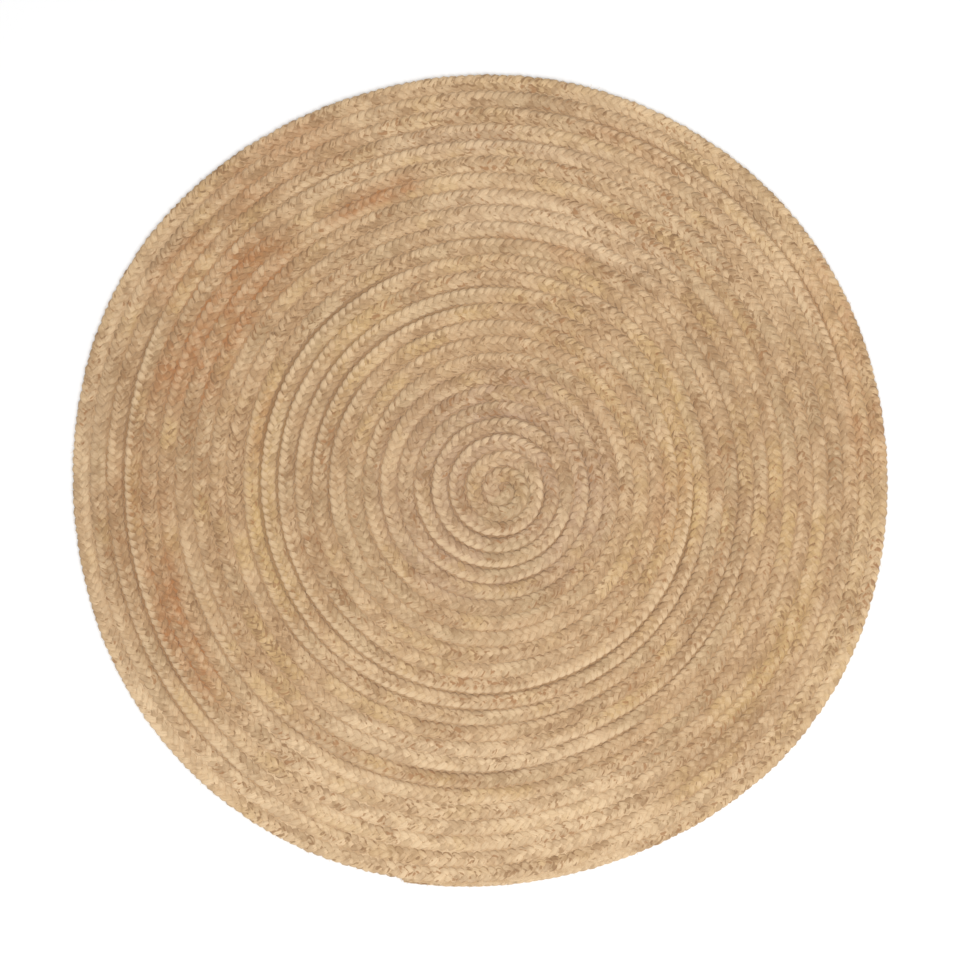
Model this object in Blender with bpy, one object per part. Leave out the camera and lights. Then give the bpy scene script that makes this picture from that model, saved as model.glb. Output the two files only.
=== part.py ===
"""Round jute rug: one flat braid coiled outward from an eye and laced row to row.

The rug lies flat with its underside on z = 0. It is one closed solid: the coil's
crowned rows with a spiral groove between them, a low rounded rim and a flat underside.
"""

import math
from collections import namedtuple

import bmesh
import bpy

# Driving dimensions, in metres.
LAST_ROW_RADIUS = 0.766     # outer edge of the last row, were it full width all the way round
CROWN_HEIGHT = 0.010        # top of a row
GROOVE_HEIGHT = 0.007       # bottom of the groove between two rows
RIM_HEIGHT = 0.005          # where the last row turns down to the floor
EYE_OFFSET = (0.053, -0.016)  # the coil's start, off the middle of the last row
EYE_RADIUS = 0.006          # the first bend of the braid, closed up to a point

# The coil.
ROWS = 26                   # rows from the eye to the rim
WINDING = -1                # the braid runs outward clockwise, seen from above
TAIL_ANGLE = math.radians(259.5)   # where the braid ends, anticlockwise from +X
TAPER_ANGLE = math.radians(60)     # the braid narrows over this much of its last turn
TAIL_WIDTH = 0.15           # share of a row's width left at the end of the braid

# How far the hand-made coil strays from round: waves around it that grow towards the rim.
Wave = namedtuple("Wave", "count height crest")
OUTLINE_WAVES = (
    Wave(count=2, height=0.0048, crest=math.radians(35)),
    Wave(count=3, height=0.0022, crest=math.radians(10)),
    Wave(count=4, height=0.0045, crest=math.radians(58)),
    Wave(count=6, height=0.0017, crest=math.radians(27)),
)

# Fineness of the facets.
STEPS_PER_TURN = 60
STRIPS_PER_ROW = 2          # groove to crown, crown to groove

OBJECT_NAME = "round_jute_rug"
NODE_NAME = "braided_coil"
JUTE_COLOUR = (0.552, 0.366, 0.205, 1.0)
JUTE_ROUGHNESS = 0.92
MERGE_DISTANCE = 0.0001
LAST_TURN = ROWS - 1        # turns of the braid's inner edge, from the eye to the tail


def clear_scene():
    for item in list(bpy.data.objects):
        bpy.data.objects.remove(item, do_unlink=True)


def smooth_share(value):
    """0 to 1 with an easy start and end."""
    value = min(max(value, 0.0), 1.0)
    return value * value * (3.0 - 2.0 * value)


def row_width_share(turns):
    """A row's width as a share of a full row: 1, but less along the tail."""
    angle_to_tail = (LAST_TURN - turns) * math.tau
    return TAIL_WIDTH + (1.0 - TAIL_WIDTH) * smooth_share(angle_to_tail / TAPER_ANGLE)


def radius_at(angle, share_out):
    """Radius of a full-width rim in one direction, for rows this far out."""
    waves = sum(wave.height * math.cos(wave.count * (angle - wave.crest)) for wave in OUTLINE_WAVES)
    return LAST_ROW_RADIUS + share_out * waves


def coil_point(turns, across):
    """Plan position on the braid: turns of its inner edge from the eye, and 0 to 1 across it."""
    share_out = (turns + across * row_width_share(turns)) / ROWS
    if share_out * LAST_ROW_RADIUS < EYE_RADIUS:
        return EYE_OFFSET
    angle = TAIL_ANGLE + WINDING * (turns - LAST_TURN) * math.tau
    radius = share_out * radius_at(angle, share_out)
    x = EYE_OFFSET[0] * (1.0 - share_out) + radius * math.cos(angle)
    y = EYE_OFFSET[1] * (1.0 - share_out) + radius * math.sin(angle)
    return x, y


def coil_height(turns, across):
    """Height of the top face: crowned between the grooves, low at the rim."""
    if across == 1.0 and turns > LAST_TURN - 1:
        return RIM_HEIGHT
    crown = (CROWN_HEIGHT - GROOVE_HEIGHT) * row_width_share(turns)
    return GROOVE_HEIGHT + crown * math.sin(math.pi * across)


def bend_ribbon_into_coil(bm):
    """Lay a flat gridded ribbon along the coil, then close it up row to row."""
    steps = ROWS * STEPS_PER_TURN
    bmesh.ops.create_grid(bm, x_segments=steps, y_segments=STRIPS_PER_ROW, size=0.5)
    for vert in bm.verts:
        step = round((vert.co.x + 0.5) * steps)
        strip = round((vert.co.y + 0.5) * STRIPS_PER_ROW)
        turns = step / STEPS_PER_TURN - 1.0
        across = strip / STRIPS_PER_ROW
        x, y = coil_point(turns, across)
        height = CROWN_HEIGHT if (x, y) == EYE_OFFSET else coil_height(turns, across)
        vert.co = (x, y, height)
    bmesh.ops.remove_doubles(bm, verts=bm.verts, dist=MERGE_DISTANCE)
    loose = [edge for edge in bm.edges if not edge.link_faces]
    bmesh.ops.delete(bm, geom=loose, context="EDGES")


def close_underside(bm):
    """Drop the rim to the floor and close the flat underside."""
    rim = [edge for edge in bm.edges if edge.is_boundary]
    wall = bmesh.ops.extrude_edge_only(bm, edges=rim)["geom"]
    for part in wall:
        if isinstance(part, bmesh.types.BMVert):
            part.co.z = 0.0
    floor_edges = [edge for edge in bm.edges if edge.is_boundary]
    underside = bmesh.ops.contextual_create(bm, geom=floor_edges)["faces"]
    bmesh.ops.poke(bm, faces=underside)
    bmesh.ops.triangulate(bm, faces=bm.faces, quad_method="SHORT_EDGE")
    bmesh.ops.recalc_face_normals(bm, faces=bm.faces)


def centre_over_origin(bm):
    """Bring the middle of the rug's bounding box over the origin."""
    xs = [vert.co.x for vert in bm.verts]
    ys = [vert.co.y for vert in bm.verts]
    middle = (-(min(xs) + max(xs)) / 2.0, -(min(ys) + max(ys)) / 2.0, 0.0)
    bmesh.ops.translate(bm, vec=middle, verts=bm.verts)


def jute_material():
    material = bpy.data.materials.new("jute_braid")
    material.use_nodes = True
    shader = material.node_tree.nodes["Principled BSDF"]
    shader.inputs["Base Color"].default_value = JUTE_COLOUR
    shader.inputs["Roughness"].default_value = JUTE_ROUGHNESS
    shader.inputs["Metallic"].default_value = 0.0
    return material


def make_braided_coil(collection):
    bm = bmesh.new()
    bend_ribbon_into_coil(bm)
    close_underside(bm)
    centre_over_origin(bm)
    mesh = bpy.data.meshes.new(NODE_NAME)
    bm.to_mesh(mesh)
    bm.free()
    mesh.materials.append(jute_material())
    mesh.shade_smooth()
    mesh.set_sharp_from_angle(angle=math.radians(50))
    collection.objects.link(bpy.data.objects.new(NODE_NAME, mesh))


def main():
    clear_scene()
    collection = bpy.data.collections.new(OBJECT_NAME)
    bpy.context.scene.collection.children.link(collection)
    make_braided_coil(collection)


main()
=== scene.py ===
"""Round jute rug: a flat three-strand braid coiled outward from its eye, laid flat on a studio floor.

Run as a script, it builds the coil's body, the braid's three strands, the stray fibres and the studio
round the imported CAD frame. Every size is in metres.
"""

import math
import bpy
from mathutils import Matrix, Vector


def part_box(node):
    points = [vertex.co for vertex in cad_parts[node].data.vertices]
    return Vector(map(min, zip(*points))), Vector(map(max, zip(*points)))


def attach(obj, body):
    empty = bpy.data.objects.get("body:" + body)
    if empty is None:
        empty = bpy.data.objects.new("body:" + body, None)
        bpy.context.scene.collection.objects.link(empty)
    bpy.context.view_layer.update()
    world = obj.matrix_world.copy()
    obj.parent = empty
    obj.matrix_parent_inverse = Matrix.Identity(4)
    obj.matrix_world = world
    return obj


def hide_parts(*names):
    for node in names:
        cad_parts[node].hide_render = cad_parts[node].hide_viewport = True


bl_info = {
    "name": "Round Jute Rug",
    "version": (1, 0, 0),
    "blender": (4, 5, 0),
    "location": "View3D > Sidebar > Jute Rug",
    "description": "Builds a braided, coiled round jute rug and the studio it is shown in",
    "category": "Add Mesh",
}

from collections import namedtuple

import bmesh
import bpy
import numpy as np

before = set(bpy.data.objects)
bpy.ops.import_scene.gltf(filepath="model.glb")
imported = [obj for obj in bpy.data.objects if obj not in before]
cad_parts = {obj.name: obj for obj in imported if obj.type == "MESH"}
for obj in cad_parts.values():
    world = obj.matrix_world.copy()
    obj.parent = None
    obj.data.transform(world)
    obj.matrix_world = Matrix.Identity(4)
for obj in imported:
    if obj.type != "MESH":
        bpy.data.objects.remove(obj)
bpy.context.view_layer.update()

RUG_NODE = "braided_coil"

# How far the hand-made coil strays from round: waves around it that grow towards the rim. How many
# there are in a turn, their height at the rim, and the direction of a crest in degrees.
OUTLINE_WAVES = ((2, 0.0048, 35), (3, 0.0022, 10), (4, 0.0045, 58), (6, 0.0017, 27))

# Where the lacing pulled loose and left a wider groove on the braid's inner side: from and to this
# many turns from the eye, and the width of the gap.
LOOSE_LACINGS = (
    (1.60, 2.40, 0.0012),
    (2.62, 3.62, 0.0026),
    (3.72, 4.62, 0.0026),
    (4.76, 5.50, 0.0022),
    (5.86, 6.20, 0.0016),
    (7.10, 7.36, 0.0014),
    (8.06, 8.40, 0.0014),
    (9.20, 9.46, 0.0016),
    (10.16, 10.34, 0.0032),
    (10.30, 10.44, 0.0014),
    (11.20, 11.46, 0.0034),
    (12.02, 12.50, 0.0020),
    (12.70, 13.36, 0.0028),
    (13.74, 14.44, 0.0022),
    (14.10, 14.42, 0.0022),
    (14.86, 15.30, 0.0018),
    (15.66, 15.86, 0.0012),
    (16.70, 16.95, 0.0020),
    (17.86, 18.02, 0.0024),
    (18.96, 19.20, 0.0014),
    (21.33, 21.56, 0.0020),
    (22.08, 22.32, 0.0030),
    (23.04, 23.22, 0.0024),
    (23.48, 23.70, 0.0022),
)

# Noise along the braid, counted in lobes: its scale, detail and roughness, how fast it changes across
# the braid or from strand to strand, and the slice of the noise that is its own.
Grain = namedtuple("Grain", "scale detail roughness crosswise slice")
LOBE_GRAIN = Grain(1.1, 1.0, 0.5, 1.0, 0.0)
SIDE_GRAIN = Grain(0.22, 2.0, 0.5, 2.2, 9.0)
CLUMP_GRAIN = Grain(0.75, 1.0, 0.5, 1.2, 33.0)
STRETCH_GRAIN = Grain(0.10, 4.0, 0.62, 1.0, 0.0)
STRETCH_LANE = 3.0          # how far across it is read, the same for all strands
BLOTCH_GRAIN = Grain(0.7, 1.0, 0.5, 1.0, 5.0)
STREAK_GRAIN = Grain(0.14, 2.0, 0.5, 1.2, 25.0)
BATCH_GRAIN = Grain(0.16, 2.0, 0.5, 0.02, 15.0)
LOBES_IN_UNEVENNESS = 0.42  # against the stretches
BLOTCHES_BY_STRAND = 0.4    # against the streaks

# The yarn's fibres and flecks: how far fibres stray from their bundle, in radians, how much a bundle
# stands out beside a fibre, what the stretches add to the noise of the bark flecks, and what the lobes
# add to that of the pale flecks, which are painted highlights on the fibres.
FIBRE_STRAY = 1.6
BUNDLE_RELIEF = 0.45
BARK_BY_STRETCH = -0.50
GLINT_BY_LOBE = -0.30

# Lengths of braid made from a differently toned batch of jute, by tone: the row and how many rows to
# each side of it, the arc it runs along in degrees, and how strongly it shows.
TONE_ARCS = {
    "Ash": (
        (4.8, 2.7, -180, 180, 0.50),
        (3.9, 1.0, 55, 118, 0.80),
        (1.4, 1.2, -180, 180, 0.35),
        (21.4, 0.8, 68, 102, 0.55),
        (17.0, 1.2, 50, 98, 0.55),
        (17.2, 0.8, 240, 292, 0.60),
    ),
    "Khaki": (
        (0.8, 1.5, 230, 410, 0.60),
        (4.4, 1.2, 258, 302, 0.50),
        (7.4, 0.8, 262, 296, 0.60),
    ),
    "Yellow": (
        (14.1, 0.9, 158, 212, 0.55),
        (12.8, 0.9, 118, 142, 0.50),
        (12.4, 1.0, -18, 42, 0.50),
        (21.3, 0.9, 318, 344, 0.50),
        (25.8, 0.9, -180, 180, 0.60),
        (25.1, 1.3, -30, 36, 0.95),
    ),
    "Pale": (
        (21.4, 0.8, 68, 102, 0.20),
        (17.0, 1.2, 50, 104, 0.50),
        (19.6, 1.2, 72, 118, 0.42),
        (17.2, 0.8, 240, 292, 0.90),
        (22.6, 3.4, 224, 302, 0.62),
        (25.2, 1.2, 205, 292, 0.90),
        (14.0, 4.0, 228, 298, 0.28),
        (15.0, 4.0, 42, 128, 0.14),
        (22.4, 3.4, 24, 126, 0.36),
        (24.9, 1.2, -180, 180, 0.50),
        (8.6, 0.8, -180, 180, 0.08),
    ),
    "Brown": (
        (21.5, 4.6, 128, 212, 0.16),
        (22.9, 1.4, 158, 196, 0.34),
        (12.0, 0.5, 140, 190, 0.26),
        (10.4, 0.5, 152, 190, 0.34),
        (13.4, 1.4, 128, 172, 0.08),
        (15.9, 0.7, -35, 38, 0.38),
        (16.1, 0.6, 316, 336, 0.38),
        (18.4, 1.4, 8, 40, 0.14),
        (21.8, 0.9, -6, 26, 0.24),
        (22.2, 0.8, 306, 322, 0.38),
        (23.9, 0.6, 76, 92, 0.35),
        (6.3, 0.7, 110, 200, 0.24),
        (2.2, 2.2, -180, 180, 0.10),
        (8.5, 5.5, 134, 218, 0.17),
        (7.6, 3.6, 222, 352, 0.06),
        (20.0, 4.6, 310, 352, 0.07),
        (24.4, 1.1, -26, -2, 0.12),
    ),
    "Rust": (
        (19.4, 2.0, 131, 164, 0.62),
        (22.8, 1.1, 138, 150, 0.35),
        (19.2, 0.7, 103, 119, 0.62),
        (23.4, 1.6, 112, 132, 0.38),
        (20.9, 1.2, 194, 217, 0.66),
        (21.2, 1.8, 176, 198, 0.20),
        (15.2, 0.4, 68, 86, 0.40),
        (14.5, 0.5, 156, 172, 0.35),
        (11.3, 1.2, -17, 5, 0.26),
        (23.2, 0.6, 60, 72, 0.30),
        (24.6, 1.2, 2, 32, 0.34),
    ),
}

# How softly an arc's tone ends: in rows, and round the coil by an angle, or by a share of a short arc.
ARC_EDGE = 0.25
ARC_EDGE_PER_SPREAD = 0.15
ARC_END_EASE = math.radians(7.0)
SHORT_ARC_EASE = 0.6

STRAND_NAMES = ("strand_one", "strand_two", "strand_three")
FIBRE_NAMES = ("fibres_one", "fibres_two", "fibres_three")
FIRST_BEND = -0.85          # turns from the eye at which the braid starts, bent up to a point
GUIDE_STEPS = 40000         # points that the braid's length is measured through
LEAST_HEIGHT = 0.0001       # above the floor, for what would dip into it
BEYOND_RUG = -10.0          # lower than any place across the rug
UPWARD = 0.3                # how far up a face must look for a loose fibre to stand on it
CROSSINGS_SEED = 7.0
THINNEST_STRAND = 0.35      # share of its thickness that a strand keeps where the row narrows to nothing
LOWEST_STRAND = 0.5         # share of its height that it keeps there
WIDE_GAP = 0.0030           # beside a gap this wide the row's outer edge gets its full painted highlight, pale as if lit

# The lacing's own unevenness: lengths of braid between its changes and their shares of it, and how
# much it is at some numbers of turns from the eye.
LACING_SEED = 11
LACING_WAVER = ((0.30, 0.6), (0.055, 0.8))
LACING_UNEVENNESS = ((0.0, 16.0, 19.0, 26.0), (0.0009, 0.0008, 0.0005, 0.0004))
LACED_ROW_WIDTH = 0.0295
LACED_TURNS = 28.0
LACING_EASE = 0.04          # turns over which a loose stretch opens and closes


# ---- Sizes and colours that a user would change ----------


def colour_property(name, description, default):
    return bpy.props.FloatVectorProperty(
        name=name, description=description, default=default, size=3, subtype="COLOR", min=0.0, max=1.0)


def share_property(name, description, default):
    return bpy.props.FloatProperty(
        name=name, description=description, default=default, min=0.0, max=1.0, subtype="FACTOR")


def length_property(name, description, default):
    return bpy.props.FloatProperty(name=name, description=description, default=default, unit="LENGTH")


class RugCoilSizes(bpy.types.PropertyGroup):
    """The coil that the braid follows, and its body."""

    rows: bpy.props.IntProperty(
        name="Rows", description="Rows of braid from the eye to the rim", default=26, min=2)
    last_row_radius: length_property(
        "Last row radius", "Outer edge of the last row, were it full width all round", 0.766)
    eye_x: length_property("Eye X", "How far the coil starts right of the last row's middle", 0.053)
    eye_y: length_property("Eye Y", "How far the coil starts above the last row's middle", -0.016)
    tail_angle: bpy.props.FloatProperty(
        name="Tail angle", description="Where the braid ends, anticlockwise from +X",
        default=math.radians(259.5), subtype="ANGLE")
    taper_angle: bpy.props.FloatProperty(
        name="Taper", description="How much of the last turn the braid narrows over",
        default=math.radians(60), subtype="ANGLE")
    tail_width: share_property("Tail width", "Share of a row's width left at the end of the braid", 0.15)
    body_crown: length_property("Body crown", "Top of the coil's body under the middle of a row", 0.0069)
    body_groove: length_property("Body groove", "Top of the coil's body between two rows", 0.0061)
    body_floor: length_property(
        "Body floor", "Underside of the coil's body, above the strands' lowest points", 0.0022)


class RugStrandSizes(bpy.types.PropertyGroup):
    """One strand of the braid, and how it crosses the others."""

    width: length_property("Strand width", "Width of a strand pressed flat", 0.0146)
    thickness: length_property("Strand thickness", "Thickness of a strand pressed flat", 0.0066)
    pitch: length_property(
        "Braid pitch", "Length of braid in which a strand comes back to its place", 0.046)
    swing: share_property(
        "Swing", "How far a strand swings to each side, as a share of the row's width", 0.29)
    lift: length_property("Lift", "How far a strand rises and dips as it crosses", 0.0015)
    lumpiness: share_property("Lumpiness", "How much a strand swells and thins along its length", 0.20)
    wander: bpy.props.FloatProperty(
        name="Wander", description="How far the crossings drift from an even pitch",
        default=1.0, min=0.0, subtype="ANGLE")
    sides: bpy.props.IntProperty(
        name="Sides", description="Faces round a strand", default=7, min=3)
    points_per_pitch: bpy.props.IntProperty(
        name="Points per pitch", description="Points along a strand for each pitch", default=10, min=6)


class RugFibreSizes(bpy.types.PropertyGroup):
    """The loose jute fibres that stand proud of the strands."""

    density: bpy.props.FloatProperty(
        name="Density", description="Loose fibres on each square metre of strand", default=3500.0, min=0.0)
    shortest: length_property("Shortest", "Shortest loose fibre", 0.005)
    longest: length_property("Longest", "Longest loose fibre", 0.016)
    thickness: length_property("Thickness", "Thickness of a loose fibre", 0.00026)


class RugColours(bpy.types.PropertyGroup):
    """The tones of undyed jute in the rug."""

    golden: colour_property("Golden tan", "Main tone of the jute", (0.535, 0.346, 0.189))
    # Pale also paints highlights: on the outer edges of rows beside wide gaps, and as glints on the
    # fibres.
    pale: colour_property("Pale straw", "Tone of the lightest lengths", (0.745, 0.545, 0.335))
    # Bark brown also paints shade: on the body between the strands, low down on the yarn and between its
    # bundles.
    brown: colour_property("Bark brown", "Tone of the darkest lengths and flecks", (0.30, 0.170, 0.082))
    rust: colour_property("Rust", "Tone of the reddish lengths", (0.435, 0.198, 0.080))
    yellow: colour_property(
        "Yellow", "Tone of the yellowest lengths and the last rows", (0.580, 0.385, 0.172))
    ash: colour_property("Ash", "Greyest tone, which shows most round the eye", (0.510, 0.342, 0.222))
    khaki: colour_property("Khaki", "Tone of the coil's first bend", (0.500, 0.360, 0.204))


class RugStudioSizes(bpy.types.PropertyGroup):
    """The camera, the floor and the lights."""

    view_width: length_property("View width", "Width of floor that the camera sees", 1.762)
    lens: bpy.props.FloatProperty(
        name="Lens", description="Focal length of the camera", default=85.0, subtype="DISTANCE_CAMERA")
    floor_width: length_property("Floor width", "Width of the studio floor", 14.0)
    air_strength: bpy.props.FloatProperty(
        name="Air strength", description="Brightness of the even light all round", default=0.75, min=0.0)
    key_width: length_property("Key width", "Width of the soft light above the rug", 4.0)
    key_power: bpy.props.FloatProperty(
        name="Key power", description="Power of the soft light above the rug", default=110.0, unit="POWER")


# ---- The coil's rule -------------------------------------


def smooth_share(value):
    """0 to 1 with an easy start and end."""
    value = np.clip(value, 0.0, 1.0)
    return value * value * (3.0 - 2.0 * value)


def row_width_share(coil, turns):
    """A row's width as a share of a full row: 1, but less along the tail."""
    angle_to_tail = (coil.rows - 1 - turns) * math.tau
    return coil.tail_width + (1.0 - coil.tail_width) * smooth_share(angle_to_tail / coil.taper_angle)


def coil_point(coil, turns, across):
    """Plan position on the braid, about the last row's middle: turns of its inner edge from the eye,
    and 0 to 1 across it."""
    share_out = np.maximum(turns + across * row_width_share(coil, turns), 0.0) / coil.rows
    angle = coil.tail_angle - (turns - (coil.rows - 1)) * math.tau
    waves = sum(wave_height * np.cos(count * (angle - math.radians(crest)))
                for count, wave_height, crest in OUTLINE_WAVES)
    radius = share_out * (coil.last_row_radius + share_out * waves)
    x = coil.eye_x * (1.0 - share_out) + radius * np.cos(angle)
    y = coil.eye_y * (1.0 - share_out) + radius * np.sin(angle)
    return np.stack([x, y], axis=-1)


def uneven_lacing(turns):
    """What the lacing adds to a groove by itself: wider and narrower every few centimetres of braid."""
    gap = np.zeros_like(turns)
    for seed, (length, share) in enumerate(LACING_WAVER):
        # Turn number grows as the root of the braid's length.
        step = length / (math.pi * LACED_ROW_WIDTH)
        knots = np.sqrt(np.arange(0.0, LACED_TURNS * LACED_TURNS, step))
        waver = np.random.default_rng(LACING_SEED + seed).normal(0.0, share, len(knots))
        gap += np.interp(turns, knots, waver)
    return gap * np.interp(turns, *LACING_UNEVENNESS)


def groove_gap(turns):
    """How far apart the rows stand on the inner side of the braid, this many turns from the eye; less
    than nothing where they are laced so tight that they press into each other."""
    gap = uneven_lacing(turns)
    for first, last, widest in LOOSE_LACINGS:
        opened = smooth_share((turns - first) / LACING_EASE)
        closing = smooth_share((last - turns) / LACING_EASE)
        gap += widest * opened * closing
    return gap


def coil_centre_shift(coil):
    """What brings the coil over the middle of the CAD node's box."""
    turns = np.linspace(coil.rows - 2, coil.rows - 1, 721)
    rim = coil_point(coil, turns, 1.0)
    low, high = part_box(RUG_NODE)
    middle = np.array([(low[0] + high[0]) / 2.0, (low[1] + high[1]) / 2.0])
    return middle - (rim.min(axis=0) + rim.max(axis=0)) / 2.0


# ---- Node tree helpers -----------------------------------


def add_node(tree, kind, inputs=None, **settings):
    """A node with its settings, and its inputs set to values or linked to sockets."""
    node = tree.nodes.new(kind)
    for name, value in settings.items():
        setattr(node, name, value)
    for key, value in (inputs or {}).items():
        connect(tree, value, node.inputs[key])
    return node


def connect(tree, value, socket):
    if isinstance(value, bpy.types.NodeSocket):
        tree.links.new(value, socket)
    else:
        socket.default_value = value


def maths(tree, operation, *values):
    """The result of one Math node."""
    node = tree.nodes.new("ShaderNodeMath")
    node.operation = operation
    for socket, value in zip(node.inputs, values):
        connect(tree, value, socket)
    return node.outputs["Value"]


def vector_maths(tree, operation, first, second=None, scale=None):
    """The vector result of one Vector Math node."""
    node = tree.nodes.new("ShaderNodeVectorMath")
    node.operation = operation
    connect(tree, first, node.inputs[0])
    if second is not None:
        connect(tree, second, node.inputs[1])
    if scale is not None:
        connect(tree, scale, node.inputs["Scale"])
    return node.outputs["Vector"]


def at(tree, x=0.0, y=0.0, z=0.0):
    """A vector from its three parts."""
    return add_node(tree, "ShaderNodeCombineXYZ", {"X": x, "Y": y, "Z": z}).outputs["Vector"]


def height_of(tree, vector):
    return add_node(tree, "ShaderNodeSeparateXYZ", {"Vector": vector}).outputs["Z"]


def new_tree(name, kind, inputs, outputs):
    """A node group: the tree, the sockets its inputs come from and the ones its outputs go to.

    Each label has the last word of its socket's type, or a number, which is the input's default."""
    tree = bpy.data.node_groups.new(name, kind)
    for label, given in inputs.items():
        word = {float: "Float", int: "Int"}.get(type(given), given)
        socket = tree.interface.new_socket(label, in_out="INPUT", socket_type=f"NodeSocket{word}")
        if given is not word:
            socket.default_value = given
    for label, word in outputs.items():
        tree.interface.new_socket(label, in_out="OUTPUT", socket_type=f"NodeSocket{word}")
    return tree, tree.nodes.new("NodeGroupInput").outputs, tree.nodes.new("NodeGroupOutput").inputs


def labelled(group, *labels):
    """A property group's values under the labels of a tree's inputs."""
    return {label: getattr(group, label.lower()) for label in labels}


def set_tree_input(modifier, label, value):
    """Sets a Geometry Nodes modifier's input through its socket's identifier."""
    for item in modifier.node_group.interface.items_tree:
        if item.item_type == "SOCKET" and item.in_out == "INPUT" and item.name == label:
            modifier[item.identifier] = value
            return
    raise RuntimeError(f"the tree {modifier.node_group.name} has no input named {label}")


def grown_mesh(source, tree, values, name):
    """A plain mesh object made by running the tree on the source mesh."""
    carrier = bpy.data.objects.new(name + "_carrier", source)
    bpy.context.scene.collection.objects.link(carrier)
    modifier = carrier.modifiers.new("Grow", "NODES")
    modifier.node_group = tree
    for label, value in values.items():
        set_tree_input(modifier, label, value)
    depsgraph = bpy.context.evaluated_depsgraph_get()
    mesh = bpy.data.meshes.new_from_object(carrier.evaluated_get(depsgraph), depsgraph=depsgraph)
    bpy.data.objects.remove(carrier)
    mesh.name = name
    piece = bpy.data.objects.new(name, mesh)
    bpy.context.scene.collection.objects.link(piece)
    return piece


# ---- Geometry: the braid's strands and the loose fibres --


def braid_guide_mesh(coil, strand):
    """The braid's middle line as a chain of points, evenly spaced along the coil.

    Each point carries how much braid lies before it, the vector across its row, and how strongly a wide
    gap beside the row paints a highlight on its outer edge."""
    fine_turns = np.linspace(FIRST_BEND, coil.rows - 1, GUIDE_STEPS)
    fine_line = coil_point(coil, fine_turns, 0.5)
    steps = np.linalg.norm(np.diff(fine_line, axis=0), axis=1)
    fine_length = np.concatenate([[0.0], np.cumsum(steps)])
    spacing = strand.pitch / strand.points_per_pitch
    along = np.arange(0.0, fine_length[-1], spacing)
    turns = np.interp(along, fine_length, fine_turns)
    row_width = coil.last_row_radius / coil.rows
    outer_gap = groove_gap(turns + 1.0)
    inner = coil_point(coil, turns, groove_gap(turns) / row_width / 2.0)
    outer = coil_point(coil, turns, 1.0 - outer_gap / row_width / 2.0)
    line = (inner + outer) / 2.0 + coil_centre_shift(coil)
    flat = np.zeros((len(along), 1))
    mesh = bpy.data.meshes.new("braid_guide")
    mesh.vertices.add(len(along))
    mesh.edges.add(len(along) - 1)
    mesh.vertices.foreach_set("co", np.hstack([line, flat]).ravel())
    chain = np.arange(len(along) - 1)
    mesh.edges.foreach_set("vertices", np.stack([chain, chain + 1], axis=1).ravel())
    mesh.attributes.new("along", "FLOAT", "POINT").data.foreach_set("value", along)
    gap_highlight = np.clip(outer_gap / WIDE_GAP, 0.0, 1.0)
    mesh.attributes.new("gap_highlight", "FLOAT", "POINT").data.foreach_set("value", gap_highlight)
    side = np.hstack([outer - inner, flat])
    mesh.attributes.new("side", "FLOAT_VECTOR", "POINT").data.foreach_set("vector", side.ravel())
    mesh.update()
    return mesh


def drift(tree, along, scale, seed):
    """A slow random drift along the braid, from about -1 to 1."""
    place = at(tree, along, seed)
    noise = add_node(tree, "ShaderNodeTexNoise", {"Vector": place, "Scale": scale, "Detail": 1.0})
    return maths(tree, "MULTIPLY_ADD", noise.outputs["Fac"], 4.0, -2.0)


def kept_above_floor(tree, geometry):
    """The geometry with whatever would dip into the floor pressed flat on it."""
    position = add_node(tree, "GeometryNodeInputPosition").outputs["Position"]
    raised = vector_maths(tree, "MAXIMUM", position, (BEYOND_RUG, BEYOND_RUG, LEAST_HEIGHT))
    return add_node(tree, "GeometryNodeSetPosition",
                    {"Geometry": geometry, "Position": raised}).outputs["Geometry"]


def carried(tree, name, kind="FLOAT"):
    """The value of that name which the guide's points carry."""
    node = add_node(tree, "GeometryNodeInputNamedAttribute", {"Name": name}, data_type=kind)
    return node.outputs["Attribute"]


def marked(tree, geometry, name, value, kind="FLOAT"):
    """The geometry, carrying a value under that name."""
    node = add_node(tree, "GeometryNodeStoreNamedAttribute",
                    {"Geometry": geometry, "Name": name, "Value": value}, data_type=kind, domain="POINT")
    return node.outputs["Geometry"]


def finished(tree, geometry, material):
    real = add_node(tree, "GeometryNodeRealizeInstances", {"Geometry": geometry}).outputs["Geometry"]
    return add_node(tree, "GeometryNodeSetMaterial",
                    {"Geometry": real, "Material": material}).outputs["Geometry"]


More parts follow.
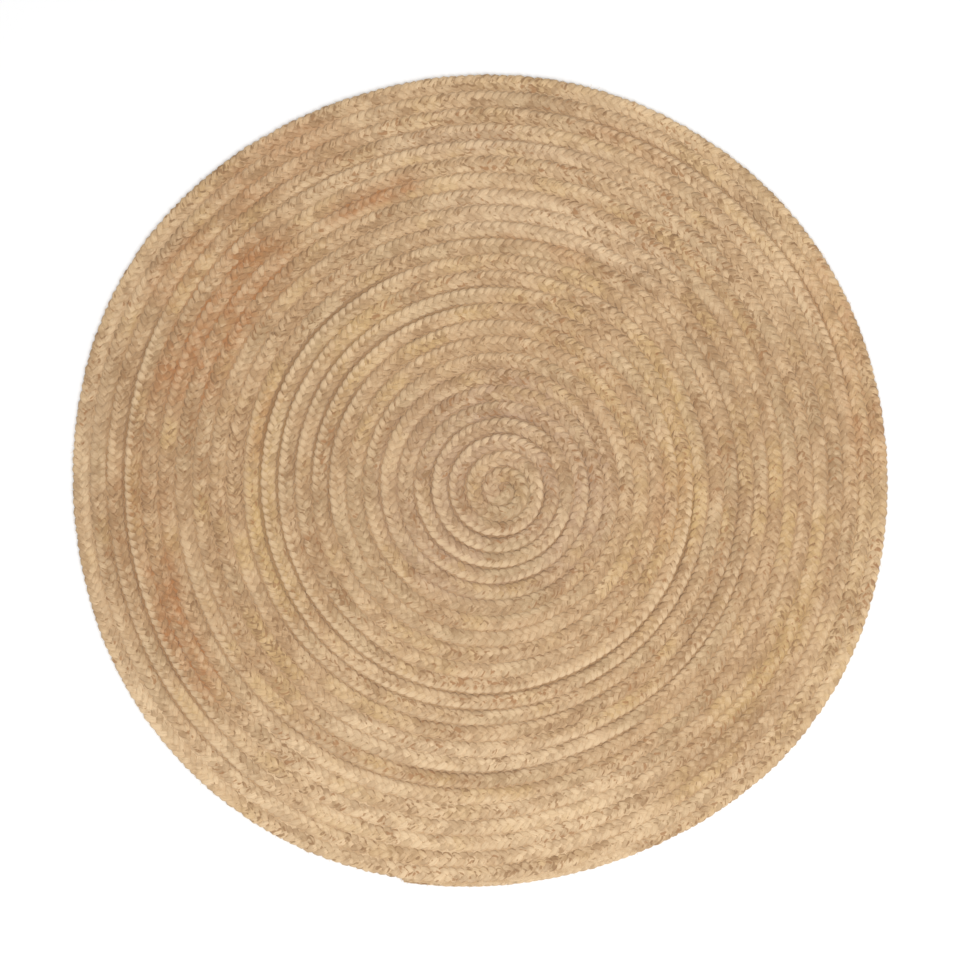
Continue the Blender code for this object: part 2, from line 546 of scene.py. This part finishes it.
def braided_strand_tree():
    """Weaves one strand of a three-strand braid along a guide."""
    tree, take, result = new_tree(
        "Braided Strand", "GeometryNodeTree",
        {"Guide": "Geometry", "Phase": 0.0, "Pitch": 0.048, "Row Width": 0.029, "Swing": 0.275,
         "Lift": 0.0021, "Width": 0.0128, "Thickness": 0.0058, "Lumpiness": 0.16, "Wander": 0.9,
         "Sides": 7, "Seed": 0.0, "Material": "Material"},
        {"Strand": "Geometry"},
    )
    side = carried(tree, "side", "FLOAT_VECTOR")

    # The three strands share the drift of the crossings, so that they never run into each other.
    pitches_along = maths(tree, "DIVIDE", carried(tree, "along"), take["Pitch"])
    wander = drift(tree, pitches_along, scale=0.5, seed=CROSSINGS_SEED)
    wander = maths(tree, "MULTIPLY", wander, take["Wander"])
    phase = maths(tree, "MULTIPLY_ADD", pitches_along, math.tau, take["Phase"])
    phase = maths(tree, "ADD", phase, wander)
    swing = maths(tree, "SINE", phase)
    across = maths(tree, "MULTIPLY", swing, take["Swing"])
    sideways = vector_maths(tree, "SCALE", side, scale=across)

    # Where the row narrows, the strands get thinner and lower with it, but less so.
    share = add_node(tree, "ShaderNodeVectorMath", {0: side}, operation="LENGTH").outputs["Value"]
    share = maths(tree, "DIVIDE", share, take["Row Width"])
    share = maths(tree, "MULTIPLY_ADD", share, 1.0 - THINNEST_STRAND, THINNEST_STRAND)
    share = maths(tree, "MINIMUM", share, 1.0)
    lowered = maths(tree, "MULTIPLY_ADD", share, 1.0 - LOWEST_STRAND, LOWEST_STRAND)
    rise = maths(tree, "MULTIPLY", maths(tree, "SINE", maths(tree, "MULTIPLY", phase, 2.0)), take["Lift"])
    middle = maths(tree, "MULTIPLY_ADD", take["Thickness"], 0.5, take["Lift"])
    height = maths(tree, "MULTIPLY", maths(tree, "ADD", rise, middle), lowered)
    offset = vector_maths(tree, "ADD", sideways, at(tree, z=height))
    moved = add_node(tree, "GeometryNodeSetPosition",
                     {"Geometry": marked(tree, take["Guide"], "swing", swing), "Offset": offset})

    line = add_node(tree, "GeometryNodeMeshToCurve", {"Mesh": moved.outputs["Geometry"]})
    level = add_node(tree, "GeometryNodeSetCurveNormal", {"Curve": line.outputs["Curve"]}, mode="Z_UP")
    lumps = drift(tree, pitches_along, scale=1.7, seed=take["Seed"])
    swell = maths(tree, "MULTIPLY_ADD", lumps, take["Lumpiness"], 1.0)
    swell = maths(tree, "MULTIPLY", swell, share)
    circle = add_node(tree, "GeometryNodeCurvePrimitiveCircle",
                      {"Resolution": take["Sides"], "Radius": 0.5})
    ring = add_node(tree, "GeometryNodeInputPosition").outputs["Position"]
    circle = marked(tree, circle.outputs["Curve"], "ring", ring, "FLOAT_VECTOR")
    oval = add_node(tree, "GeometryNodeTransform",
                    {"Geometry": circle, "Scale": at(tree, take["Width"], take["Thickness"], 1.0)})
    tube = add_node(tree, "GeometryNodeCurveToMesh",
                    {"Curve": level.outputs["Curve"], "Profile Curve": oval.outputs["Geometry"],
                     "Scale": swell, "Fill Caps": True})
    pressed = kept_above_floor(tree, tube.outputs["Mesh"])
    bare = add_node(tree, "GeometryNodeRemoveAttribute", {"Geometry": pressed, "Name": "side"})
    numbered = marked(tree, bare.outputs["Geometry"], "strand", take["Seed"])
    smooth = add_node(tree, "GeometryNodeSetShadeSmooth", {"Geometry": numbered}).outputs["Geometry"]
    tree.links.new(finished(tree, smooth, take["Material"]), result["Strand"])
    return tree


def random_vector(tree, low, high, seed):
    node = add_node(tree, "FunctionNodeRandomValue", {"Seed": seed}, data_type="FLOAT_VECTOR")
    connect(tree, low, node.inputs[0])
    connect(tree, high, node.inputs[1])
    return node.outputs[0]


def random_number(tree, low, high, seed):
    node = add_node(tree, "FunctionNodeRandomValue", {"Seed": seed}, data_type="FLOAT")
    connect(tree, low, node.inputs[2])
    connect(tree, high, node.inputs[3])
    return node.outputs[1]


def loose_fibre_tree():
    """Scatters short curled fibres over the upper side of a strand."""
    tree, take, result = new_tree(
        "Loose Fibres", "GeometryNodeTree",
        {"Strand": "Geometry", "Density": 3500.0, "Shortest": 0.005, "Longest": 0.016,
         "Thickness": 0.00026, "Seed": 3, "Material": "Material"},
        {"Fibres": "Geometry"},
    )
    normal = add_node(tree, "GeometryNodeInputNormal").outputs["Normal"]
    upper = maths(tree, "GREATER_THAN", height_of(tree, normal), UPWARD)
    roots = add_node(tree, "GeometryNodeDistributePointsOnFaces",
                     {"Mesh": take["Strand"], "Selection": upper, "Density": take["Density"],
                      "Seed": take["Seed"]})

    # One fibre: a bent hair one metre long, scaled to its length where it stands.
    hair = add_node(tree, "GeometryNodeCurveQuadraticBezier",
                    {"Resolution": 4, "Start": (-0.5, 0.0, -0.03), "Middle": (0.1, 0.14, 0.2),
                     "End": (0.5, -0.06, 0.05)})
    thinness = maths(tree, "DIVIDE", take["Thickness"], take["Longest"])
    section = add_node(tree, "GeometryNodeCurvePrimitiveCircle", {"Resolution": 3, "Radius": thinness})
    hair = add_node(tree, "GeometryNodeCurveToMesh",
                    {"Curve": hair.outputs["Curve"], "Profile Curve": section.outputs["Curve"],
                     "Fill Caps": True})
    turn = random_vector(tree, (0.0, -0.1, 0.0), (0.5, 0.1, math.tau), take["Seed"])
    rotation = add_node(tree, "FunctionNodeEulerToRotation", {"Euler": turn}).outputs["Rotation"]
    length = random_number(tree, take["Shortest"], take["Longest"], take["Seed"])
    placed = add_node(tree, "GeometryNodeInstanceOnPoints",
                      {"Points": roots.outputs["Points"], "Instance": hair.outputs["Mesh"],
                       "Rotation": rotation, "Scale": length})
    real = add_node(tree, "GeometryNodeRealizeInstances", {"Geometry": placed.outputs["Instances"]})
    above = kept_above_floor(tree, real.outputs["Geometry"])
    tree.links.new(finished(tree, above, take["Material"]), result["Fibres"])
    return tree


# ---- Materials -------------------------------------------


def ranged(tree, value, low, high, low_result=0.0, high_result=1.0):
    """The value eased from one range to another, and held at its ends."""
    node = add_node(tree, "ShaderNodeMapRange",
                    {"Value": value, "From Min": low, "From Max": high,
                     "To Min": low_result, "To Max": high_result}, interpolation_type="SMOOTHSTEP")
    return node.outputs["Result"]


def mixed(tree, share, first, second):
    """The second colour laid over the first by a share from 0 to 1."""
    node = add_node(tree, "ShaderNodeMix", data_type="RGBA")
    share_socket, first_socket, second_socket = node.inputs[0], node.inputs[6], node.inputs[7]
    connect(tree, share, share_socket)
    connect(tree, first, first_socket)
    connect(tree, second, second_socket)
    return node.outputs[2]


def noise(tree, place, scale, detail=2.0, roughness=0.5):
    """Smooth noise from 0 to 1, mostly near the middle."""
    node = add_node(tree, "ShaderNodeTexNoise",
                    {"Vector": place, "Scale": scale, "Detail": detail, "Roughness": roughness})
    return node.outputs["Fac"]


def toned(tree, colour, target, value, clear, full, share):
    """The colour turned towards the target as the value goes from clear to full, by at most a share."""
    return mixed(tree, ranged(tree, value, clear, full, high_result=share), colour, target)


def braid_noise(tree, lobes_along, across, grain):
    """Noise that runs along the braid, at so many lobes along it and so far across."""
    place = at(tree, lobes_along, maths(tree, "MULTIPLY", across, grain.crosswise), grain.slice)
    return noise(tree, place, grain.scale, grain.detail, grain.roughness)


def blended(tree, first, second, first_share):
    """The first value by its share and the second by the rest."""
    rest = maths(tree, "MULTIPLY", second, 1.0 - first_share)
    return maths(tree, "MULTIPLY_ADD", first, first_share, rest)


def dot(tree, first, second):
    node = add_node(tree, "ShaderNodeVectorMath", operation="DOT_PRODUCT")
    connect(tree, first, node.inputs[0])
    connect(tree, second, node.inputs[1])
    return node.outputs["Value"]


def coil_place_group():
    """Works out which row of the coil a point is on, and in which direction from the eye."""
    tree, take, result = new_tree(
        "Coil Place", "ShaderNodeTree",
        {"Position": "Vector", "Eye": "Vector", "Last Row Middle": "Vector", "Last Row Radius": 0.766,
         "Rows": 26.0},
        {"Row": "Float", "Direction": "Vector"},
    )
    # A row's middle moves evenly from the eye to the last row's middle, so the share of the way out
    # is the root of a quadratic.
    level = vector_maths(tree, "MULTIPLY", take["Position"], (1.0, 1.0, 0.0))
    from_eye = vector_maths(tree, "SUBTRACT", level, take["Eye"])
    shift = vector_maths(tree, "SUBTRACT", take["Last Row Middle"], take["Eye"])
    radius_squared = maths(tree, "MULTIPLY", take["Last Row Radius"], take["Last Row Radius"])
    divisor = maths(tree, "SUBTRACT", radius_squared, dot(tree, shift, shift))
    along_shift = dot(tree, from_eye, shift)
    under_root = maths(tree, "MULTIPLY_ADD", along_shift, along_shift,
                       maths(tree, "MULTIPLY", divisor, dot(tree, from_eye, from_eye)))
    root = maths(tree, "SQRT", under_root)
    share_out = maths(tree, "DIVIDE", maths(tree, "SUBTRACT", root, along_shift), divisor)
    row = maths(tree, "MULTIPLY", share_out, take["Rows"])
    middle = vector_maths(tree, "SCALE", shift, scale=share_out)
    outward = vector_maths(tree, "SUBTRACT", from_eye, middle)
    direction = add_node(tree, "ShaderNodeVectorMath", {0: outward}, operation="NORMALIZE")
    tree.links.new(row, result["Row"])
    tree.links.new(direction.outputs["Vector"], result["Direction"])
    return tree


def arc_mask(tree, row, direction, arc_row, spread, start, end, strength):
    """How strongly an arc's tone shows at a place on the coil."""
    off_row = maths(tree, "ABSOLUTE", maths(tree, "SUBTRACT", row, arc_row))
    soft = ARC_EDGE + ARC_EDGE_PER_SPREAD * spread
    mask = ranged(tree, off_row, spread + soft, spread - soft, high_result=strength)
    if end - start >= 360:
        return mask
    middle = math.radians((start + end) / 2.0)
    half = math.radians((end - start) / 2.0)
    ease = min(ARC_END_EASE, half * SHORT_ARC_EASE)
    across = dot(tree, direction, (math.cos(middle), math.sin(middle), 0.0))
    around = ranged(tree, across, math.cos(half + ease), math.cos(half - ease))
    return maths(tree, "MULTIPLY", mask, around)


def rug_tone_group():
    """The jute's tone by its place on the rug: the coil's zones, and the arcs of other batches."""
    tree, take, result = new_tree(
        "Rug Tone by Place", "ShaderNodeTree",
        {"Row": 0.0, "Direction": "Vector", "Blotches": 0.5, "Drift": 0.5, "Golden": "Color",
         "Pale": "Color", "Brown": "Color", "Rust": "Color", "Yellow": "Color", "Ash": "Color",
         "Khaki": "Color"},
        {"Tone": "Color"},
    )
    # Batches of jute differ a little all over the rug.
    colour = take["Golden"]
    colour = toned(tree, colour, take["Yellow"], take["Drift"], clear=0.51, full=0.65, share=0.70)
    colour = toned(tree, colour, take["Khaki"], take["Drift"], clear=0.49, full=0.35, share=0.60)
    patchy = ranged(tree, take["Blotches"], 0.40, 0.60, low_result=0.45, high_result=1.60)
    for tone, arcs in TONE_ARCS.items():
        strongest = 0.0
        for arc in arcs:
            mask = arc_mask(tree, take["Row"], take["Direction"], *arc)
            strongest = maths(tree, "MAXIMUM", strongest, mask)
        share = maths(tree, "MINIMUM", maths(tree, "MULTIPLY", strongest, patchy), 1.0)
        colour = mixed(tree, share, colour, take[tone])
    tree.links.new(colour, result["Tone"])
    return tree


def jute_yarn_group():
    """A strand of jute: its lobes and lengths of uneven tone, its fibres, its bark flecks, pale flecks
    that are painted highlights on the fibres, and painted shade between its fibre bundles and low down.
    """
    tree, take, result = new_tree(
        "Jute Yarn", "ShaderNodeTree",
        {"Tone": "Color", "Dark": "Color", "Light": "Color", "Bark": "Color", "Along": 0.0,
         "Strand": 0.0, "Side": 0.0, "Ring": "Vector", "Height Above Floor": 0.0, "Lobe Length": 0.024,
         "Twist": 60.0, "Bundles": 7.0, "Fibres Along": 16.0, "Flecks Along": 52.0},
        {"Colour": "Color", "Height": "Float", "Roughness": "Float"},
    )

    # Uneven tone: lobes a little off their neighbours, clumps, sides, and stretches shared by the strands.
    lobes_along = maths(tree, "DIVIDE", take["Along"], take["Lobe Length"])
    lobe = braid_noise(tree, lobes_along, take["Strand"], LOBE_GRAIN)
    side = braid_noise(tree, lobes_along, take["Side"], SIDE_GRAIN)
    clump = braid_noise(tree, lobes_along, take["Side"], CLUMP_GRAIN)
    stretch = braid_noise(tree, lobes_along, STRETCH_LANE, STRETCH_GRAIN)
    uneven = blended(tree, lobe, stretch, first_share=LOBES_IN_UNEVENNESS)

    # Fibres run along the strand with its twist, in a few bundles.
    angle = maths(tree, "MULTIPLY", take["Along"], take["Twist"])
    twisted = add_node(tree, "ShaderNodeVectorRotate", {"Vector": take["Ring"], "Angle": angle},
                       rotation_type="Z_AXIS").outputs["Vector"]
    fibre_lengths = maths(tree, "MULTIPLY", take["Along"], take["Fibres Along"])
    fibre_place = vector_maths(tree, "ADD", twisted, at(tree, take["Strand"], 0.0, fibre_lengths))
    fibre = noise(tree, fibre_place, scale=5.0, detail=5.0, roughness=0.62)
    split = add_node(tree, "ShaderNodeSeparateXYZ", {"Vector": twisted})
    around = maths(tree, "ARCTAN2", split.outputs["Y"], split.outputs["X"])
    around = maths(tree, "MULTIPLY_ADD", fibre, FIBRE_STRAY, around)
    half_bundles = maths(tree, "MULTIPLY", take["Bundles"], 0.5)
    bundle = maths(tree, "COSINE", maths(tree, "MULTIPLY", around, half_bundles))
    bundle = maths(tree, "ABSOLUTE", bundle)

    # Bark left on the fibre shows as dark and reddish flecks, thicker in some stretches than in others.
    fleck_lengths = maths(tree, "MULTIPLY", take["Along"], take["Flecks Along"])
    fleck_place = vector_maths(tree, "ADD", twisted, at(tree, take["Strand"], 0.0, fleck_lengths))
    fleck = noise(tree, fleck_place, scale=1.9, detail=1.5)
    bark = maths(tree, "MULTIPLY_ADD", stretch, BARK_BY_STRETCH, fleck)
    # Pale flecks are painted highlights: glints of light on single fibres, more of them where the lobe
    # noise is high.
    straw = maths(tree, "MULTIPLY_ADD", lobe, GLINT_BY_LOBE, fleck)

    # The tones laid over the yarn in turn: where each starts, where it is full, and how far it covers.
    dark, light = take["Dark"], take["Light"]
    colour = take["Tone"]
    for target, value, clear, full, share in (
        (dark, side, 0.49, 0.38, 0.30),
        (light, side, 0.51, 0.62, 0.28),
        (dark, clump, 0.48, 0.34, 0.40),
        (light, clump, 0.52, 0.66, 0.30),
        (dark, uneven, 0.51, 0.37, 0.28),
        (light, uneven, 0.50, 0.63, 0.22),
        (dark, fibre, 0.52, 0.30, 0.22),
        (light, fibre, 0.50, 0.70, 0.16),
        # Painted shade in the creases between the fibre bundles, where their bump dips.
        (dark, bundle, 0.35, 0.0, 0.14),
        (take["Bark"], bark, 0.345, 0.425, 0.80),
        # Painted highlight: the pale flecks, glints on the fibres.
        (light, straw, 0.24, 0.17, 0.28),
        # Painted shade: the yarn turns darker the lower it lies, in the grooves and where a strand dips
        # under the others.
        (dark, take["Height Above Floor"], 0.0055, 0.001, 0.35),
    ):
        colour = toned(tree, colour, target, value, clear, full, share)
    tree.links.new(colour, result["Colour"])
    tree.links.new(maths(tree, "MULTIPLY_ADD", bundle, BUNDLE_RELIEF, fibre), result["Height"])
    roughness = ranged(tree, fibre, 0.3, 0.7, low_result=0.96, high_result=0.78)
    tree.links.new(roughness, result["Roughness"])
    return tree


def add_group(tree, name, build, inputs):
    """The outputs of a group node in a material. The group is built the first time it is asked for."""
    group = bpy.data.node_groups.get(name) or build()
    return add_node(tree, "ShaderNodeGroup", inputs, node_tree=group).outputs


def four(colour):
    return (*colour, 1.0)


def tone_at_place(tree, scene, position, blotches, drift_of_tone=0.5):
    """The jute's tone at a place on the rug, from the two place groups."""
    coil = scene.rug_coil
    colours = scene.rug_colours
    shift = coil_centre_shift(coil)
    place = add_group(tree, "Coil Place", coil_place_group, {
        "Position": position,
        "Eye": (coil.eye_x + shift[0], coil.eye_y + shift[1], 0.0),
        "Last Row Middle": (shift[0], shift[1], 0.0),
        "Last Row Radius": coil.last_row_radius,
        "Rows": float(coil.rows),
    })
    tones = labelled(colours, "Golden", "Pale", "Brown", "Rust", "Yellow", "Ash", "Khaki")
    return add_group(tree, "Rug Tone by Place", rug_tone_group, {
        "Row": place["Row"],
        "Direction": place["Direction"],
        "Blotches": blotches,
        "Drift": drift_of_tone,
        **{label: four(tone) for label, tone in tones.items()},
    })["Tone"]


def jute_shader(name):
    """A new material set for dry, slightly silky jute: its tree, its shader, and places on the piece."""
    material = bpy.data.materials.new(name)
    material.use_nodes = True
    shader = material.node_tree.nodes["Principled BSDF"]
    shader.inputs["Specular IOR Level"].default_value = 0.25
    shader.inputs["Sheen Weight"].default_value = 0.12
    shader.inputs["Sheen Roughness"].default_value = 0.5
    tree = material.node_tree
    return material, tree, shader, add_node(tree, "ShaderNodeTexCoord").outputs["Object"]


def finish_shader(tree, shader, colour, roughness, height=None, bump_depth=0.0):
    """Links a material's colour, its roughness and, where it has one, its bump."""
    tree.links.new(colour, shader.inputs["Base Color"])
    tree.links.new(roughness, shader.inputs["Roughness"])
    if height is not None:
        bump = add_node(tree, "ShaderNodeBump",
                        {"Height": height, "Strength": 0.6, "Distance": bump_depth})
        tree.links.new(bump.outputs["Normal"], shader.inputs["Normal"])


def attribute(tree, name, output="Fac"):
    return add_node(tree, "ShaderNodeAttribute", attribute_name=name).outputs[output]


def strand_material(scene):
    """The braid's strands: spun jute, whose patterns follow each strand along and around."""
    material, tree, shader, position = jute_shader("jute_strand")
    colours = scene.rug_colours
    brown, pale, rust = four(colours.brown), four(colours.pale), four(colours.rust)
    along = attribute(tree, "along")
    strand = attribute(tree, "strand")
    side = attribute(tree, "swing")
    lobe_length = scene.rug_strand.pitch / 2.0
    lobes_along = maths(tree, "DIVIDE", along, lobe_length)
    blotches = blended(tree, braid_noise(tree, lobes_along, strand, BLOTCH_GRAIN),
                       braid_noise(tree, lobes_along, side, STREAK_GRAIN), BLOTCHES_BY_STRAND)
    batch = braid_noise(tree, lobes_along, strand, BATCH_GRAIN)
    yarn = add_group(tree, "Jute Yarn", jute_yarn_group, {
        "Tone": tone_at_place(tree, scene, position, blotches, batch),
        "Dark": brown,
        "Light": pale,
        "Bark": toned(tree, brown, rust, blotches, clear=0.46, full=0.60, share=0.5),
        "Along": along,
        "Strand": strand,
        "Side": side,
        "Ring": attribute(tree, "ring", "Vector"),
        "Height Above Floor": height_of(tree, position),
        "Lobe Length": lobe_length,
    })
    # Painted highlight: the outer edge of a row beside a wide gap is turned pale, as if it caught the
    # light.
    painted_highlight = ranged(tree, side, 0.40, 0.95, high_result=0.62)
    painted_highlight = maths(tree, "MULTIPLY", painted_highlight, attribute(tree, "gap_highlight"))
    colour = mixed(tree, painted_highlight, yarn["Colour"], pale)
    finish_shader(tree, shader, colour, yarn["Roughness"], yarn["Height"], bump_depth=0.0011)
    return material


def core_material(scene):
    """The body seen in the grooves: the same jute, matted, and darkened by painted shade between the
    strands.
    """
    material, tree, shader, position = jute_shader("jute_core")
    brown = four(scene.rug_colours.brown)
    tone = tone_at_place(tree, scene, position, noise(tree, position, scale=45.0, detail=1.0))
    matted = noise(tree, position, scale=900.0, detail=4.0, roughness=0.65)
    # Partly a random matted tone and partly painted shade: the body is turned 5 to 45 per cent towards
    # brown all over, so that the gaps between the strands look dark.
    shade = ranged(tree, matted, 0.62, 0.34, low_result=0.05, high_result=0.45)
    colour = mixed(tree, shade, tone, brown)
    # Painted shade: darker still the lower the body lies in the grooves.
    colour = toned(tree, colour, brown, height_of(tree, position), clear=0.0062, full=0.0030, share=0.5)
    roughness = ranged(tree, matted, 0.3, 0.7, low_result=0.98, high_result=0.86)
    finish_shader(tree, shader, colour, roughness, matted, bump_depth=0.0008)
    return material


def fibre_material(scene):
    """Loose fibres: the tone of the place they stand on, bleached a little by wear."""
    material, tree, shader, position = jute_shader("jute_loose_fibre")
    tone = tone_at_place(tree, scene, position, noise(tree, position, scale=45.0, detail=1.0))
    patches = noise(tree, position, scale=130.0, detail=1.0)
    faded = ranged(tree, patches, 0.38, 0.62, high_result=0.9)
    roughness = ranged(tree, faded, 0.0, 0.9, low_result=0.62, high_result=0.78)
    colour = mixed(tree, faded, tone, four(scene.rug_colours.pale))
    finish_shader(tree, shader, colour, roughness)
    return material


# ---- Operators -------------------------------------------


def mesh_object(name, bm, material):
    """A new object in the scene, from a bmesh that is then let go."""
    mesh = bpy.data.meshes.new(name)
    bm.to_mesh(mesh)
    bm.free()
    mesh.materials.append(material)
    made = bpy.data.objects.new(name, mesh)
    bpy.context.scene.collection.objects.link(made)
    return made


def stand_for_rug(piece):
    """The piece moves with the rug and stands for its CAD solid, which is hidden."""
    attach(piece, "root")
    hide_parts(RUG_NODE)


class RUG_OT_coil_body(bpy.types.Operator):
    """Make the coil's body: a thin sheet with one low ridge under each row of braid"""

    bl_idname = "rug.coil_body"
    bl_label = "Coil Body"
    bl_options = {"REGISTER", "UNDO"}

    steps_per_turn = 120
    strips_per_row = 4
    rim_inset = 0.35            # share of the last row that is left to the strands
    eye_radius = 0.004
    eye_height = 0.0042
    eye_rows = 1.3              # rows over which the body rises from the eye
    sink_per_gap = 0.75
    merge_distance = 0.0001

    def execute(self, context):
        coil = context.scene.rug_coil
        steps = coil.rows * self.steps_per_turn
        bm = bmesh.new()
        bmesh.ops.create_grid(bm, x_segments=steps, y_segments=self.strips_per_row, size=0.5)
        verts = list(bm.verts)
        places = np.array([vert.co[:2] for vert in verts]) + 0.5
        turns = np.round(places[:, 0] * steps) / self.steps_per_turn - 1.0
        across = np.round(places[:, 1] * self.strips_per_row) / self.strips_per_row

        # Each ridge falls to the grooves on its two sides, and lower where the lacing is loose.
        gap = np.where(across < 0.5, groove_gap(turns), groove_gap(turns + 1.0))
        sunk = np.maximum(gap, 0.0) * self.sink_per_gap
        groove = coil.body_groove - sunk
        height = groove + (coil.body_crown - groove) * np.sin(math.pi * across)
        on_rim = turns > coil.rows - 2
        across = np.where(on_rim, across * (1.0 - self.rim_inset), across)
        points = coil_point(coil, turns, across)
        rows_out = turns + across
        height = self.eye_height + (height - self.eye_height) * smooth_share(rows_out / self.eye_rows)
        in_eye = rows_out / coil.rows * coil.last_row_radius < self.eye_radius
        points[in_eye] = (coil.eye_x, coil.eye_y)
        height[in_eye] = self.eye_height
        points += coil_centre_shift(coil)
        for vert, point, z in zip(verts, points, height):
            vert.co = (point[0], point[1], z)
        bmesh.ops.remove_doubles(bm, verts=bm.verts, dist=self.merge_distance)
        loose = [edge for edge in bm.edges if not edge.link_faces]
        bmesh.ops.delete(bm, geom=loose, context="EDGES")
        rim = [edge for edge in bm.edges if edge.is_boundary]
        for part in bmesh.ops.extrude_edge_only(bm, edges=rim)["geom"]:
            if isinstance(part, bmesh.types.BMVert):
                part.co.z = coil.body_floor
        floor_edges = [edge for edge in bm.edges if edge.is_boundary]
        underside = bmesh.ops.contextual_create(bm, geom=floor_edges)["faces"]
        underside = set(bmesh.ops.triangulate(bm, faces=underside)["faces"])
        bmesh.ops.recalc_face_normals(bm, faces=bm.faces)
        for face in bm.faces:
            face.smooth = face not in underside
        stand_for_rug(mesh_object("coil_body", bm, core_material(context.scene)))
        return {"FINISHED"}


class RUG_OT_braid_strands(bpy.types.Operator):
    """Weave the braid's three strands along the coil"""

    bl_idname = "rug.braid_strands"
    bl_label = "Braid Strands"
    bl_options = {"REGISTER", "UNDO"}

    first_seed = 20.0
    seed_step = 13.0

    def execute(self, context):
        coil = context.scene.rug_coil
        strand = context.scene.rug_strand
        sizes = labelled(
            strand, "Pitch", "Swing", "Lift", "Width", "Thickness", "Lumpiness", "Wander", "Sides")
        guide = braid_guide_mesh(coil, strand)
        tree = braided_strand_tree()
        material = strand_material(context.scene)
        for index, name in enumerate(STRAND_NAMES):
            piece = grown_mesh(guide, tree, {
                "Phase": index * math.tau / len(STRAND_NAMES),
                "Row Width": coil.last_row_radius / coil.rows,
                "Seed": self.first_seed + self.seed_step * index,
                "Material": material,
                **sizes,
            }, name)
            stand_for_rug(piece)
        bpy.data.meshes.remove(guide)
        return {"FINISHED"}


class RUG_OT_loose_fibres(bpy.types.Operator):
    """Scatter the loose fibres that stand proud of each strand"""

    bl_idname = "rug.loose_fibres"
    bl_label = "Loose Fibres"
    bl_options = {"REGISTER", "UNDO"}

    first_seed = 5

    def execute(self, context):
        fibre = context.scene.rug_fibre
        tree = loose_fibre_tree()
        material = fibre_material(context.scene)
        for index, (strand_name, name) in enumerate(zip(STRAND_NAMES, FIBRE_NAMES)):
            strand = bpy.data.objects.get(strand_name)
            if strand is None:
                raise RuntimeError("make the braid's strands first: the fibres stand on them")
            piece = grown_mesh(strand.data, tree, {
                "Seed": self.first_seed + index,
                "Material": material,
                **labelled(fibre, "Density", "Shortest", "Longest", "Thickness"),
            }, name)
            stand_for_rug(piece)
        return {"FINISHED"}


class RUG_OT_studio(bpy.types.Operator):
    """Lay the studio floor, hang the soft lights and set the camera straight above the rug"""

    bl_idname = "rug.studio"
    bl_label = "Studio"
    bl_options = {"REGISTER", "UNDO"}

    floor_tone = (0.93, 0.93, 0.93, 1.0)
    air_tone = (1.0, 1.0, 1.0, 1.0)
    key_place = (0.8, -1.4, 3.9)

    def execute(self, context):
        scene = context.scene
        studio = scene.rug_studio
        bm = bmesh.new()
        bmesh.ops.create_grid(bm, x_segments=1, y_segments=1, size=studio.floor_width / 2.0)
        material = bpy.data.materials.new("studio_white")
        material.use_nodes = True
        shader = material.node_tree.nodes["Principled BSDF"]
        shader.inputs["Base Color"].default_value = self.floor_tone
        shader.inputs["Roughness"].default_value = 0.8
        floor = mesh_object("studio_floor", bm, material)

        world = bpy.data.worlds.new("studio_air")
        world.use_nodes = True
        air = world.node_tree.nodes["Background"]
        air.inputs["Color"].default_value = self.air_tone
        air.inputs["Strength"].default_value = studio.air_strength
        scene.world = world

        camera_data = bpy.data.cameras.new("overhead_camera")
        camera_data.lens = studio.lens
        camera_data.dof.use_dof = False
        camera = bpy.data.objects.new("overhead_camera", camera_data)
        camera.location = (0.0, 0.0, studio.view_width * studio.lens / camera_data.sensor_width)
        scene.collection.objects.link(camera)
        scene.camera = camera
        scene.view_settings.view_transform = "Standard"

        key_data = bpy.data.lights.new("soft_key", "AREA")
        key_data.shape = "SQUARE"
        key_data.size = studio.key_width
        key_data.energy = studio.key_power
        key = bpy.data.objects.new("soft_key", key_data)
        key.location = self.key_place
        key.rotation_euler = (-key.location).to_track_quat("-Z", "Y").to_euler()
        scene.collection.objects.link(key)
        return {"FINISHED"}


class RUG_PT_sidebar(bpy.types.Panel):
    """Lists the rug's pieces in the order they are made"""

    bl_label = "Round Jute Rug"
    bl_idname = "RUG_PT_sidebar"
    bl_space_type = "VIEW_3D"
    bl_region_type = "UI"
    bl_category = "Jute Rug"

    def draw(self, context):
        for operator in OPERATORS:
            self.layout.operator(operator.bl_idname)


GROUPS = {
    "rug_coil": RugCoilSizes,
    "rug_strand": RugStrandSizes,
    "rug_fibre": RugFibreSizes,
    "rug_colours": RugColours,
    "rug_studio": RugStudioSizes,
}
OPERATORS = (RUG_OT_coil_body, RUG_OT_braid_strands, RUG_OT_loose_fibres, RUG_OT_studio)
CLASSES = (*GROUPS.values(), *OPERATORS, RUG_PT_sidebar)


def register():
    for cls in CLASSES:
        bpy.utils.register_class(cls)
    for name, group in GROUPS.items():
        setattr(bpy.types.Scene, name, bpy.props.PointerProperty(type=group))


def unregister():
    for name in GROUPS:
        delattr(bpy.types.Scene, name)
    for cls in reversed(CLASSES):
        bpy.utils.unregister_class(cls)


def main():
    register()
    bpy.ops.rug.coil_body()
    bpy.ops.rug.braid_strands()
    bpy.ops.rug.loose_fibres()
    bpy.ops.rug.studio()


if __name__ == "__main__":
    main()
